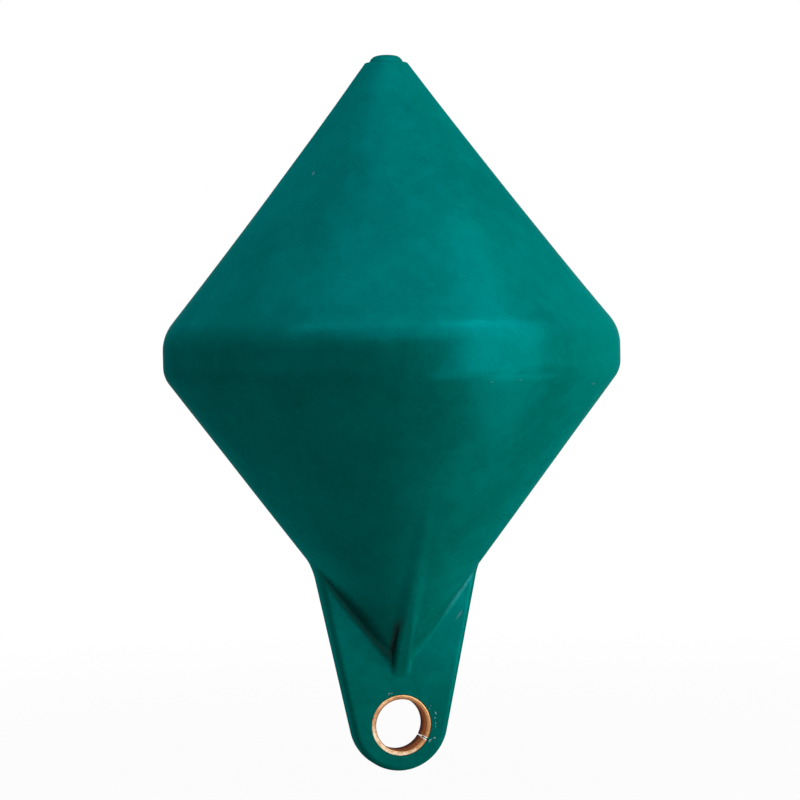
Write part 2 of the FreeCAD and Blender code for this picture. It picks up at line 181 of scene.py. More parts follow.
def plate_outline(x, z):
    """Distance outside the lug's outline in the XZ plane."""
    x = np.abs(x)
    flank = (x - LUG_LOW[0]) * math.cos(FLANK) - (z - LUG_LOW[1]) * math.sin(FLANK)
    end = np.hypot(x, z - LUG_Z) - LUG_END
    blend = LUG_BLEND - np.hypot(x - LUG_HUB[0], z - LUG_HUB[1])
    inset = (x - LUG_HUB[0]) * math.cos(CONE_ANGLE) - (z - LUG_HUB[1]) * math.sin(CONE_ANGLE)
    inset = inset + LUG_BLEND
    turn = np.arctan2(z - LUG_HUB[1], LUG_HUB[0] - x)
    upper = np.where(turn < FLANK, flank, np.where(turn < CONE_ANGLE, blend, inset))
    below = x * math.sin(FLANK) + (z - LUG_Z) * math.cos(FLANK) < 0
    return np.where(below, end, upper)


def rounded(a, b, radius):
    """Distance outside the solid where both a and b are negative, with its edge rounded."""
    a = a + radius
    b = b + radius
    return np.minimum(np.maximum(a, b), 0) + np.hypot(np.maximum(a, 0), np.maximum(b, 0)) - radius


def plate(x, y, z):
    """Distance outside the lug's plate."""
    return rounded(plate_outline(x, z), np.abs(y) - LUG_HALF, LUG_EDGE)


def rib(x, y, z):
    """Distance outside the rib."""
    fade = ease(z, *RIB_FADE)
    depth = LUG_HALF + (z - RIB_FOOT) * math.tan(RIB_SLOPE) - RIB_SINK * fade
    edge = RIB_EDGE + RIB_SOFTER * fade
    return rounded(np.abs(x) - RIB_HALF, (np.abs(y) - depth) * math.cos(RIB_SLOPE), edge)


def cone(x, y, z):
    """Distance outside the lower cone."""
    return (np.hypot(x, y) - cone_radius(z)) * math.cos(CONE_ANGLE)


def join(a, b, width):
    """Distance outside two solids together, with the crease between them filled over a width."""
    near = np.maximum(width - np.abs(a - b), 0)
    return np.minimum(a, b) - near ** 2 / (4 * np.maximum(width, 1e-6))


def lug_and_cone(x, y, z):
    """Distance outside the cone, plate and rib together, with soft creases. The fill beside the
    plate dies out towards the plate's rim, which keeps its outline."""
    width = CREASE * ease(-plate_outline(x, z), *FILL_FROM_RIM)
    rib_width = RIB_CREASE + RIB_SOFTER * ease(z, *RIB_FADE)
    return join(join(cone(x, y, z), plate(x, y, z), width), rib(x, y, z), rib_width)


# The search for the surface starts between the axis and a radius that is past it everywhere
WELL_OUTSIDE = 260.0
HALVINGS = 34


def reach_of(solid, turn, z):
    """How far out the solid reaches from the axis, in each direction and at each level."""
    near = np.zeros(np.broadcast(turn, z).shape)
    far = near + WELL_OUTSIDE
    outside = solid(near, near, z + near) > 0
    for _ in range(HALVINGS):
        middle = (near + far) / 2
        inside = solid(middle * np.cos(turn), middle * np.sin(turn), z) < 0
        near, far = np.where(inside, middle, near), np.where(inside, far, middle)
    return np.where(outside, 0.0, near)


# Points in a quarter turn, and the fine steps that they are picked from
QUARTER = 80
FINE = 720
# Rows of points down the bare cone, down the lug to its round end, and round that end
LUG_TOP = -132.0
CONE_ROWS = 26
LUG_ROWS = 108
TIP_ROWS = 34
TIP_TURN = math.radians(88.5)


def lug_rows(levels):
    """Sections of the cone, plate and rib together, each resampled evenly along its length,
    a quarter at a time, from +X round."""
    turn = np.linspace(0, math.pi / 2, FINE)[None, :]
    z = np.array(levels)[:, None]
    reach = reach_of(lug_and_cone, turn, z)
    x, y = reach * np.cos(turn), reach * np.sin(turn)
    rows = []
    for k in range(len(levels)):
        run = np.concatenate([[0], np.cumsum(np.hypot(np.diff(x[k]), np.diff(y[k])))])
        at = np.linspace(0, run[-1], QUARTER + 1)
        qx, qy = np.interp(at, run, x[k]), np.interp(at, run, y[k])
        px = np.concatenate([qx, -qx[-2::-1], -qx[1:], qx[-2:0:-1]])
        py = np.concatenate([qy, qy[-2::-1], -qy[1:], -qy[-2:0:-1]])
        rows.append(np.stack([px, py, np.full(len(px), levels[k])], -1))
    return np.array(rows)


def float_grid():
    """Rows of points from the filler hole down to the lug's foot."""
    profile = cone_profile()
    turn = np.arange(4 * QUARTER) * math.pi / 2 / QUARTER
    upper = [np.stack([r * np.cos(turn), r * np.sin(turn), np.full(len(turn), z)], -1)
             for r, z in profile]
    levels = list(np.linspace(profile[-1, 1], LUG_TOP, CONE_ROWS)[1:])
    levels += list(np.linspace(LUG_TOP, LUG_LOW[1], LUG_ROWS)[1:])
    levels += [LUG_Z - LUG_END * math.sin(t) for t in np.linspace(FLANK, TIP_TURN, TIP_ROWS)[1:]]
    return np.concatenate([np.array(upper), lug_rows(levels)])


# Marks in the creases: dirt with painted shade on -X, a pale painted highlight with rub wear on +X.
# Each pair runs from none of
# the mark to all of it: a distance from the crease or in from the plate's rim, a place across the lug,
# a height above the rib's foot or a level.
GRIME_AND_SHADE_SIDE = (4.0, -5.0)
SEAM_REACH = (3.8, 1.3)
NOTCH_REACH = (5.0, 1.5)
NOTCH_TOP = (-205.0, -226.0)
NOTCH_FOOT = (-249.0, -240.0)
HIGHLIGHT_RUB_REACH = (3.4, 1.8)
HIGHLIGHT_RUB_FOOT = (-220.0, -192.0)
MARK_FROM_RIM = (1.0, 9.0)
MARK_ABOVE_FOOT = (2.0, 12.0)
MARK_TOP = -120.0
SEAM_GRIME_AND_SHADE = 0.45
NOTCH_GRIME_AND_SHADE = 0.80


def crease_marks(grid):
    """How much dirt and painted shade each point holds, and how much pale painted highlight with rub
    wear lies along the crease.
    """
    x, y, z = grid[..., 0], grid[..., 1], grid[..., 2]
    to_cone, to_plate, to_rib = (np.abs(solid(x, y, z)) for solid in (cone, plate, rib))
    from_crease = np.maximum(to_cone, to_plate)
    from_rib_foot = np.maximum(to_rib, np.minimum(to_cone, to_plate))
    inside = ease(-plate_outline(x, z), *MARK_FROM_RIM) * ease(z - RIB_FOOT, *MARK_ABOVE_FOOT)
    one_side = ease(x, *GRIME_AND_SHADE_SIDE)
    seam = ease(from_crease, *SEAM_REACH) * inside
    notch = ease(from_rib_foot, *NOTCH_REACH) * ease(z, *NOTCH_TOP) * ease(z, *NOTCH_FOOT)
    # Dirt with painted shade: darker along the crease and in the rib's corner, on the -X side only,
    # away from the lamps
    grime_and_shade = one_side * np.maximum(SEAM_GRIME_AND_SHADE * seam, NOTCH_GRIME_AND_SHADE * notch)
    # A painted highlight with some rub wear along the crease on the +X side, where the lamps fall
    highlight_and_rub = ease(from_crease, *HIGHLIGHT_RUB_REACH) * inside * (1 - one_side) * ease(z, *HIGHLIGHT_RUB_FOOT)
    grime_and_shade[z > MARK_TOP] = 0
    highlight_and_rub[z > MARK_TOP] = 0
    return grime_and_shade, highlight_and_rub


# The waves of the moulded surface: waves in a turn, radians to the millimetre along the axis,
# phase, and share of the whole depth. They start from the lug up and stop short of the crown, each
# between two levels.
WAVES = ((3, 0.011, 0.4, 0.30),
         (5, -0.023, 2.1, 0.25),
         (9, 0.037, 4.4, 0.20),
         (14, -0.061, 1.3, 0.15),
         (23, 0.090, 5.2, 0.10))
WAVE_DEPTH = 0.5
WAVES_FOOT = (-125.0, -60.0)
WAVES_TOP = (CROWN_Z - 4.0, CROWN_Z - 40.0)


def unevenness(grid):
    """The slight waviness of the moulded cones, drawn inwards from their true surface."""
    turn = np.arctan2(grid[..., 1], grid[..., 0])
    z = grid[..., 2]
    sway = np.zeros(z.shape)
    for rounds, rise, phase, share in WAVES:
        sway += share * np.sin(rounds * turn + rise * z + phase)
    depth = WAVE_DEPTH * (1 - sway) / 2 * ease(z, *WAVES_FOOT) * ease(z, *WAVES_TOP)
    out = grid.copy()
    out[..., :2] *= (1 - depth / np.maximum(np.hypot(grid[..., 0], grid[..., 1]), 1.0))[..., None]
    return out


# --------------------------------------------------------------------------------------------
# Meshes
# --------------------------------------------------------------------------------------------
SMOOTH_BELOW = 40.0


def mesh_of(name, points, faces):
    """A mesh from points in millimetres."""
    mesh = bpy.data.meshes.new(name)
    mesh.from_pydata((points * MM).tolist(), [], faces)
    mesh.update()
    return mesh


def add(mesh, name):
    piece = bpy.data.objects.new(name, mesh)
    scene.collection.objects.link(piece)
    return piece


def smooth(mesh):
    mesh.polygons.foreach_set("use_smooth", [True] * len(mesh.polygons))
    mesh.set_sharp_from_angle(angle=math.radians(SMOOTH_BELOW))


def grid_mesh(name, grid, layers):
    """A closed tube of rows, with a point at each end. Each layer is a value for each point."""
    rows, columns = grid.shape[:2]
    top = grid[0].mean(0)
    foot = grid[-1].mean(0)
    foot[2] = float_low.z
    faces = []
    for i in range(rows - 1):
        for j in range(columns):
            k = (j + 1) % columns
            faces.append((i * columns + j, (i + 1) * columns + j,
                          (i + 1) * columns + k, i * columns + k))
    last = (rows - 1) * columns
    for j in range(columns):
        k = (j + 1) % columns
        faces.append((rows * columns, j, k))
        faces.append((last + k, last + j, rows * columns + 1))
    mesh = mesh_of(name, np.concatenate([grid.reshape(-1, 3), [top, foot]]), faces)
    for key, values in layers.items():
        layer = mesh.attributes.new(key, "FLOAT", "POINT")
        layer.data.foreach_set("value", np.concatenate([values.ravel(), [0, 0]]))
    mesh.update()
    return mesh


def cylinder_mesh(name, radius, half, centre, sides):
    """A closed round bar along Y."""
    turn = np.arange(sides) * 2 * math.pi / sides
    ring = np.stack([radius * np.cos(turn), np.zeros(sides), radius * np.sin(turn)], -1)
    points = np.concatenate([ring + (0, -half, 0), ring + (0, half, 0)]) + centre
    faces = [(j, sides + j, sides + (j + 1) % sides, (j + 1) % sides) for j in range(sides)]
    faces += [tuple(range(sides)), tuple(range(sides, 2 * sides))[::-1]]
    return mesh_of(name, points, faces)


CUTTER_HALF = 40.0
CUTTER_SIDES = 192


def float_shell(name):
    """The float's skin with its marks, and with the round seat of the bush cut through it."""
    grid = float_grid()
    grime_and_shade, highlight_and_rub = crease_marks(grid)
    shell = add(grid_mesh(name, unevenness(grid), {"grime_and_shade": grime_and_shade, "highlight_and_rub": highlight_and_rub}), name)
    eye = np.array([0, 0, EYE_Z])
    cutter = add(cylinder_mesh("cutter", SEAT_R, CUTTER_HALF, eye, CUTTER_SIDES), "cutter")
    cut = shell.modifiers.new("eye", "BOOLEAN")
    cut.operation = "DIFFERENCE"
    cut.solver = "EXACT"
    cut.object = cutter
    bpy.context.view_layer.update()
    evaluated = shell.evaluated_get(bpy.context.evaluated_depsgraph_get())
    finished = bpy.data.meshes.new_from_object(evaluated)
    finished.name = name
    shell.modifiers.clear()
    shell.data = finished
    bpy.data.objects.remove(cutter)
    smooth(shell.data)
    return shell


# --------------------------------------------------------------------------------------------
# The bush and the plastic burrs beside it
# --------------------------------------------------------------------------------------------
BORE_R = mounts["mooring_eye"]["dims"]["r_mm"]
BUSH_OUT = (bush_high.x - bush_low.x) / 2
BUSH_HALF = bush_high.y
BUSH_RIM = 1.4
RIM_STEPS = 7
WALL_STEPS = 10
BUSH_STEPS = 300
SEAM_TURN = math.radians(-30.0)
SEAM_HALF = 0.45
# At its ends the strip is thinner by this share, over this length. Its edges are uneven by a share of
# its width, and its bore by a depth.
END_EASE = 0.16
END_REACH = 1.2
EDGE_WAVE = 0.012
BORE_WAVE = 0.10


def bush_section():
    """The wall of the bush as a closed loop of (radius, level along Y), with rounded rims."""
    corners = [np.array(c) for c in ((BORE_R, -BUSH_HALF), (BUSH_OUT, -BUSH_HALF),
                                     (BUSH_OUT, BUSH_HALF), (BORE_R, BUSH_HALF))]
    arcs = [fillet(corners[k - 1], corners[k], corners[(k + 1) % 4], BUSH_RIM, RIM_STEPS)
            for k in range(4)]
    loop = []
    for k, arc in enumerate(arcs):
        loop += [arc, np.linspace(arc[-1], arcs[(k + 1) % 4][0], WALL_STEPS)[1:-1]]
    return np.concatenate(loop)


def bush_mesh(name):
    """The strip wrapped from one side of its seam round to the other. Its cut edges are a
    little uneven, and its two ends are eased where they meet."""
    loop = bush_section()
    steps = BUSH_STEPS
    half = math.asin(SEAM_HALF / BUSH_OUT)
    turn = SEAM_TURN + half + (2 * math.pi - 2 * half) * np.linspace(0, 1, steps)
    middle = np.array([(BORE_R + BUSH_OUT) / 2, 0.0])
    rows = []
    for k, t in enumerate(turn):
        from_end = min(k, steps - 1 - k) / (steps - 1) * 2 * math.pi * BUSH_OUT
        eased = 1 - END_EASE * max(0.0, 1 - from_end / END_REACH) ** 2
        wave = 0.5 + 0.25 * (math.sin(3 * t + 0.5) + math.sin(7 * t + 2.0))
        section = middle + (loop - middle) * (eased, 1 - EDGE_WAVE * wave)
        section[:, 0] += BORE_WAVE * (1 - wave) * np.clip((middle[0] - loop[:, 0]) / 2, 0, 1)
        rows.append(np.stack([section[:, 0] * math.cos(t), section[:, 1],
                              section[:, 0] * math.sin(t) + EYE_Z], -1))
    n = len(loop)
    faces = [(i * n + j, i * n + (j + 1) % n, (i + 1) * n + (j + 1) % n, (i + 1) * n + j)
             for i in range(steps - 1) for j in range(n)]
    faces += [tuple(range(n))[::-1], tuple(range((steps - 1) * n, steps * n))]
    return mesh_of(name, np.concatenate(rows), faces)


BURRS = 18
BURR_SIDES = 9
BURR_SEED = 7
BURR_SINK = 0.05
# Where the burrs lie: one in three on the +Y face, and one in five away from the main patch, which
# is given by its middle and spread in degrees. They lie out from the bush by a gap and a spread.
PATCH_TURN, PATCH_SPREAD = -2.0, 22.0
STRAY_TURNS = (60.0, 300.0)
BURR_GAP, BURR_SPREAD = 1.6, 2.2
BURR_LENGTHS = (0.9, 2.3)
BURR_WIDTHS = (0.6, 1.2)
BURR_HEIGHTS = (0.1, 0.25)
BURR_RAGGED = (0.45, 1.2)
BURR_LEAN = 0.5
BURR_TIP = 0.3


def burr_mesh(name):
    """Small pale flakes of plastic, raised where the bush was pressed in, mostly on one side."""
    rng = np.random.default_rng(BURR_SEED)
    points, faces = [], []
    for k in range(BURRS):
        side = 1 if k % 3 == 0 else -1
        stray = k % 5 == 0
        turn = rng.uniform(*STRAY_TURNS) if stray else rng.normal(PATCH_TURN, PATCH_SPREAD)
        at = math.radians(turn)
        far = BUSH_OUT + BURR_GAP + abs(rng.normal(0.0, BURR_SPREAD))
        length = rng.uniform(*BURR_LENGTHS)
        width = rng.uniform(*BURR_WIDTHS)
        height = rng.uniform(*BURR_HEIGHTS)
        lean = at + math.pi / 2 + rng.normal(0.0, BURR_LEAN)
        along = np.array([math.cos(lean), 0.0, math.sin(lean)])
        across = np.array([-math.sin(lean), 0.0, math.cos(lean)])
        foot = np.array([far * math.cos(at), side * (LUG_HALF - BURR_SINK),
                         EYE_Z + far * math.sin(at)])
        ring = []
        for u in np.arange(BURR_SIDES) * 2 * math.pi / BURR_SIDES:
            out = along * length * math.cos(u) + across * width * math.sin(u)
            ring.append(foot + out * rng.uniform(*BURR_RAGGED))
        tip = foot + np.array([0.0, side * height, 0.0]) + along * rng.uniform(-BURR_TIP, BURR_TIP)
        root = foot - np.array([0.0, side * 2 * BURR_SINK, 0.0])
        base = len(points)
        points += ring + [tip, root]
        for j in range(BURR_SIDES):
            a, b = base + j, base + (j + 1) % BURR_SIDES
            faces += [(a, b, base + BURR_SIDES), (b, a, base + BURR_SIDES + 1)]
    return mesh_of(name, np.array(points), faces)


# --------------------------------------------------------------------------------------------
# Materials
# --------------------------------------------------------------------------------------------
class Nodes:
    """Short names for building a material's nodes."""

    def __init__(self, name):
        self.material = bpy.data.materials.new(name)
        self.material.use_nodes = True
        self.tree = self.material.node_tree
        self.tree.nodes.clear()
        self.out = self.tree.nodes.new("ShaderNodeOutputMaterial")

    def add(self, kind, **inputs):
        node = self.tree.nodes.new("ShaderNode" + kind)
        for key, value in inputs.items():
            self.put(node, key.replace("_", " "), value)
        return node

    def put(self, node, key, value):
        socket = node.inputs[int(key)] if key.isdigit() else node.inputs[key]
        if isinstance(value, bpy.types.NodeSocket):
            self.tree.links.new(value, socket)
        else:
            socket.default_value = value

    def coords(self):
        return self.add("TexCoord").outputs["Object"]

    def scaled(self, vector, scale):
        node = self.add("Mapping", Vector=vector)
        node.inputs["Scale"].default_value = scale
        return node.outputs[0]

    def noise(self, vector, scale, detail=3.0, rough=0.5):
        node = self.add("TexNoise", Vector=vector, Scale=scale, Detail=detail, Roughness=rough)
        return node.outputs["Fac"]

    def layer(self, name):
        node = self.add("Attribute")
        node.attribute_name = name
        return node.outputs["Fac"]

    def ramp(self, fac, low, high, to_low=0.0, to_high=1.0):
        """A smooth change from to_low, where fac is low, to to_high, where fac is high."""
        node = self.add("MapRange", Value=fac)
        node.interpolation_type = "SMOOTHSTEP"
        self.put(node, "From Min", low)
        self.put(node, "From Max", high)
        self.put(node, "To Min", to_low)
        self.put(node, "To Max", to_high)
        return node.outputs[0]

    def math(self, operation, a, b=0.0):
        node = self.tree.nodes.new("ShaderNodeMath")
        node.operation = operation
        self.put(node, "0", a)
        self.put(node, "1", b)
        return node.outputs[0]

    def times(self, a, b):
        return self.math("MULTIPLY", a, b)

    def length(self, vector):
        node = self.add("VectorMath", **{"0": vector})
        node.operation = "LENGTH"
        return node.outputs["Value"]

    def dot(self, vector, direction):
        node = self.add("VectorMath", **{"0": vector, "1": direction})
        node.operation = "DOT_PRODUCT"
        return node.outputs["Value"]

    def mix(self, fac, a, b):
        node = self.tree.nodes.new("ShaderNodeMix")
        node.data_type = "RGBA"
        self.put(node, "0", fac)
        self.put(node, "6", a)
        self.put(node, "7", b)
        return node.outputs[2]

    def bump(self, height, strength, distance):
        return self.add("Bump", Height=height, Strength=strength, Distance=distance).outputs[0]

    def finish(self, shader):
        self.tree.links.new(shader, self.out.inputs["Surface"])
        return self.material


PLASTIC = (0.0, 0.235, 0.193, 1.0)
PLASTIC_DEEP = (0.0, 0.190, 0.155, 1.0)
PLASTIC_CHALK = (0.0, 0.285, 0.240, 1.0)
PLASTIC_SHEEN = (0.03, 0.60, 0.66, 1.0)
GRIME_AND_SHADE = (0.048, 0.031, 0.026, 1.0)
SCUFF = (0.38, 0.44, 0.50, 1.0)
HIGHLIGHT_AND_RUB = (0.07, 0.42, 0.44, 1.0)
TORN_DARK = (0.20, 0.42, 0.44, 1.0)
TORN_PALE = (0.62, 0.72, 0.76, 1.0)
PLASTIC_METAL = 0.15
PLASTIC_ROUGH = (0.25, 0.31)
# Pale knocks: centre, half sizes, tilt about Y, spin about Z and strength
KNOCKS = (((-79.0, -50.0, 173.0), (2.2, 4.0, 3.4), 0, -58, 0.70),
          ((54.0, -11.0, -214.0), (7.0, 3.0, 1.4), -54, 0, 0.20),
          ((145.0, -126.0, -11.0), (7.0, 3.0, 1.2), 0, 49, 0.20),
          ((36.0, -193.0, -6.0), (2.0, 3.0, 0.9), 0, 10, 0.16),
          ((62.0, -186.0, -5.0), (1.4, 3.0, 0.9), 0, 18, 0.16),
          ((-120.0, 62.0, 96.0), (2.4, 4.0, 1.4), 0, 27, 0.25),
          ((98.0, 96.0, -82.0), (6.0, 4.0, 1.0), 12, -45, 0.22))


def knock(n, at, centre, halves, tilt, spin, strength):
    """A soft-edged spot where an ellipsoid, given by its half sizes, meets the surface."""
    place = n.add("Mapping", Vector=at)
    place.vector_type = "TEXTURE"
    place.inputs["Location"].default_value = [c * MM for c in centre]
    place.inputs["Rotation"].default_value = (0.0, math.radians(tilt), math.radians(spin))
    place.inputs["Scale"].default_value = [h * MM for h in halves]
    return n.ramp(n.length(place.outputs[0]), 0.2, 1.0, strength, 0.0)


def moulded_plastic(name):
    """Polyethylene as it leaves a rotational mould: satin, faintly clouded and speckled, with dirt and
    painted shade in the creases, a painted highlight with rub wear along one crease, and a few pale
    scuffs."""
    n = Nodes(name)
    at = n.coords()
    cloud = n.noise(at, 9.0, detail=4.0, rough=0.55)
    mottle = n.noise(at, 55.0, detail=3.0, rough=0.6)
    fleck = n.noise(at, 420.0, detail=2.0, rough=0.5)
    colour = n.mix(n.ramp(cloud, 0.36, 0.66), PLASTIC_DEEP, PLASTIC)
    colour = n.mix(n.times(n.ramp(mottle, 0.45, 0.75), 0.30), colour, PLASTIC_CHALK)
    colour = n.mix(n.times(n.ramp(fleck, 0.50, 0.80), 0.25), colour, PLASTIC_DEEP)
    # Dirt with painted shade, settled in the creases, in patches
    patch = n.ramp(n.noise(at, 60.0, detail=4.0, rough=0.6), 0.30, 0.62, to_low=0.65)
    colour = n.mix(n.times(n.layer("grime_and_shade"), patch), colour, GRIME_AND_SHADE)
    # Pale knocks, broken up, and a painted highlight with some rub wear along a crease
    broken = n.ramp(n.noise(at, 800.0, detail=3.0, rough=0.6), 0.34, 0.52)
    for mark in KNOCKS:
        colour = n.mix(n.times(knock(n, at, *mark), broken), colour, SCUFF)
    wear_and_painted_light = n.ramp(n.noise(at, 150.0, detail=3.0, rough=0.6), 0.3, 0.6, 0.25, 0.60)
    colour = n.mix(n.times(n.layer("highlight_and_rub"), wear_and_painted_light), colour, HIGHLIGHT_AND_RUB)
    fine = n.noise(at, 700.0, detail=2.0, rough=0.5)
    coarse = n.noise(at, 130.0, detail=3.0, rough=0.55)
    height = n.math("ADD", n.times(fine, 0.35), n.times(coarse, 0.65))
    shader = n.add("BsdfPrincipled")
    n.put(shader, "Base Color", colour)
    n.put(shader, "Roughness", n.ramp(mottle, 0.3, 0.7, *PLASTIC_ROUGH))
    n.put(shader, "Normal", n.bump(height, 0.2, 0.0006))
    # The sheen is teal: it comes from the tinted edge of a slight metallic share
    n.put(shader, "IOR", 1.5)
    n.put(shader, "Metallic", PLASTIC_METAL)
    n.put(shader, "Specular IOR Level", 0.0)
    n.put(shader, "Specular Tint", PLASTIC_SHEEN)
    return n.finish(shader.outputs[0])


BORE_BROWN = (0.36, 0.165, 0.085, 1.0)
BORE_DARK_END = (0.105, 0.072, 0.066, 1.0)
RIM_COPPER = (0.56, 0.26, 0.11, 1.0)
RIM_RUBBED = (0.78, 0.44, 0.23, 1.0)
RIM_PATCH = (0.44, 0.18, 0.07, 1.0)
RIM_PAINTED_HIGHLIGHT = (1.0, 0.80, 0.55, 1.0)
RIM_PAINTED_SHADE = (0.36, 0.150, 0.055, 1.0)
RIM_INNER = (0.34, 0.145, 0.06, 1.0)
RIM_SHADE_LINE = (0.035, 0.022, 0.018, 1.0)
SEAM_GLINT = (0.92, 0.84, 0.72, 1.0)
COPPER_EDGE = (0.30, 0.17, 0.13, 1.0)
RIM_ROUGH = 0.27
WALL_ROUGH = 0.46
# Where the bush changes colour, in millimetres. The rim and its dark line of painted shade lie in from
# the bush's ends, the bore's darkening along Y, the painted highlight and the painted shade stretch
# out from the eye's centre, the inner half out from the bore, and the painted glint on the cut ends
# beside the seam, out from the axis and along Y.
RIM_FROM_END = (1.6, 0.5)
LINE_FROM_END = 1.7
LINE_HALF = 0.5
DARK_END_SPAN = (-1.0, 11.0)
HIGHLIGHT_REACH = (6.0, 26.0)
SHADE_REACH = (2.0, 24.0)
INNER_HALF = (0.9, 2.2)
GLINT_BESIDE = (0.7, 1.7)
GLINT_OUT = (0.0, 10.0)
GLINT_ALONG = (-5.0, 3.0)


def bush_metal(name):
    """Rolled copper alloy: bright from rubbing at the rims in patches, with a painted highlight on the
    lower rim, painted shade across from it and a painted glint at the seam; brown and dull inside.
    """
    n = Nodes(name)
    at = n.coords()
    place = n.add("SeparateXYZ", **{"0": at})
    x, y, z = place.outputs
    depth = n.math("ABSOLUTE", y)
    edge = BUSH_HALF * MM
    rim = n.ramp(depth, *(edge - d * MM for d in RIM_FROM_END))
    cloud = n.noise(at, 160.0, detail=4.0, rough=0.6)
    patch = n.noise(at, 48.0, detail=3.0, rough=0.5)
    # Inside, the wall goes from brown behind the -Y rim to a dark brown behind the +Y rim
    toward_dark_end = n.ramp(n.math("ADD", y, n.times(cloud, 0.010)), *(d * MM for d in DARK_END_SPAN))
    inner = n.mix(toward_dark_end, BORE_BROWN, BORE_DARK_END)
    wear_and_painted_light = n.mix(n.ramp(cloud, 0.35, 0.7), RIM_COPPER, RIM_RUBBED)
    wear_and_painted_light = n.mix(n.times(n.ramp(patch, 0.42, 0.62), 0.6), wear_and_painted_light, RIM_PATCH)
    # Painted highlight on the lower rim, and painted shade on the rim across from it
    low = n.ramp(n.math("SUBTRACT", n.times(x, -0.6), z), *((d - EYE_Z) * MM for d in HIGHLIGHT_REACH))
    wear_and_painted_light = n.mix(n.times(low, n.ramp(cloud, 0.40, 0.62, to_low=0.45)), wear_and_painted_light, RIM_PAINTED_HIGHLIGHT)
    high = n.ramp(n.math("ADD", n.times(x, 1.2), z), *((d + EYE_Z) * MM for d in SHADE_REACH))
    wear_and_painted_light = n.mix(n.times(high, 0.82), wear_and_painted_light, RIM_PAINTED_SHADE)
    # The rim's inner half is browner than its outer half
    across = n.add("CombineXYZ", **{"0": x, "1": n.math("SUBTRACT", z, EYE_Z * MM)}).outputs[0]
    uneven = n.times(n.math("SUBTRACT", cloud, 0.5), 0.0012)
    radius = n.math("ADD", n.length(across), uneven)
    outer = n.ramp(radius, *((BORE_R + d) * MM for d in INNER_HALF))
    wear_and_painted_light = n.mix(outer, RIM_INNER, wear_and_painted_light)
    colour = n.mix(rim, inner, wear_and_painted_light)
    # Painted shade: a dark line where the rim turns into the bore
    from_line = n.math("ABSOLUTE", n.math("SUBTRACT", depth, edge - LINE_FROM_END * MM))
    colour = n.mix(n.ramp(from_line, 0.0, LINE_HALF * MM, 0.55, 0.0), colour, RIM_SHADE_LINE)
    # A painted glint on the cut ends of the strip where they meet at the seam, towards the -Y rim
    from_seam = n.dot(across, (-math.sin(SEAM_TURN), math.cos(SEAM_TURN), 0))
    along = n.dot(across, (math.cos(SEAM_TURN), math.sin(SEAM_TURN), 0))
    beside = n.ramp(n.math("ABSOLUTE", from_seam), *(d * MM for d in GLINT_BESIDE), 0.75, 0.0)
    glint_mask = n.times(beside, n.ramp(along, *(d * MM for d in GLINT_OUT)))
    glint_mask = n.times(glint_mask, n.ramp(y, *(d * MM for d in GLINT_ALONG), 1.0, 0.0))
    colour = n.mix(glint_mask, colour, SEAM_GLINT)
    rolled = n.noise(n.scaled(at, (1, 0.15, 1)), 900.0, detail=2.0)
    pits = n.ramp(n.noise(at, 420.0, detail=3.0, rough=0.6), 0.30, 0.50)
    height = n.math("ADD", n.times(rolled, 0.4), n.times(pits, 0.6))
    shader = n.add("BsdfPrincipled")
    n.put(shader, "Base Color", colour)
    n.put(shader, "Roughness", n.ramp(rim, 0, 1, WALL_ROUGH, RIM_ROUGH))
    n.put(shader, "Normal", n.bump(height, 0.4, 0.0003))
    n.put(shader, "Metallic", 1.0)
    n.put(shader, "Specular Tint", COPPER_EDGE)
    return n.finish(shader.outputs[0])


def burr_plastic(name):
    """The float's plastic where it is torn: paler and dull."""
    n = Nodes(name)
    grain = n.noise(n.coords(), 900.0, detail=3.0, rough=0.6)
    shader = n.add("BsdfPrincipled")
    n.put(shader, "Base Color", n.mix(n.ramp(grain, 0.3, 0.6), TORN_DARK, TORN_PALE))
    n.put(shader, "Roughness", n.ramp(grain, 0.3, 0.7, 0.55, 0.75))
    n.put(shader, "Normal", n.bump(grain, 0.5, 0.0002))
    n.put(shader, "Specular IOR Level", 0.2)
    return n.finish(shader.outputs[0])


FLOOR_GREY = (0.28, 0.28, 0.28, 1.0)
WHITE = (1, 1, 1, 1)
# The floor turns from slightly shaded to pure white between these distances, in metres
FLOOR_FADE = (0.5, 1.3)


def studio_white(name, lit):
    """A pale surface that shows as near white to the camera but keeps its shadows close to the
    object, and fades to the background's white further out."""
    n = Nodes(name)
    fade = n.ramp(n.length(n.coords()), *FLOOR_FADE, lit, 1.0)
    path = n.add("LightPath")
    seen = n.math("MAXIMUM", path.outputs["Is Camera Ray"],
                  n.math("MAXIMUM", path.outputs["Is Glossy Ray"],
                         path.outputs["Is Transmission Ray"]))
    matt = n.add("BsdfDiffuse", Color=FLOOR_GREY)
    glow = n.add("Emission", Color=WHITE, Strength=1.0)
    blend = n.add("MixShader")
    n.put(blend, "0", n.times(seen, fade))
    n.put(blend, "1", matt.outputs[0])
    n.put(blend, "2", glow.outputs[0])
    return n.finish(blend.outputs[0])


def dress(piece, material):
    piece.data.materials.clear()
    piece.data.materials.append(material)


# --------------------------------------------------------------------------------------------
# The pieces
# --------------------------------------------------------------------------------------------
shell = float_shell("float_shell")
bush = add(bush_mesh("bush_ring"), "bush_ring")
smooth(bush.data)
burrs = add(burr_mesh("eye_burrs"), "eye_burrs")

plastic = moulded_plastic("moulded_plastic_satin")
dress(shell, plastic)
dress(bush, bush_metal("copper_alloy_worn"))
dress(burrs, burr_plastic("torn_plastic"))
for slot in frame["nodes"]["filler_plug"].material_slots:
    slot.material = plastic

for piece, slot_name in ((shell, "moulded_plastic"), (bush, "bush_metal"), (burrs, "moulded_plastic")):
    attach(piece, "root")
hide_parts("float_body")
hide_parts("eye_bush")


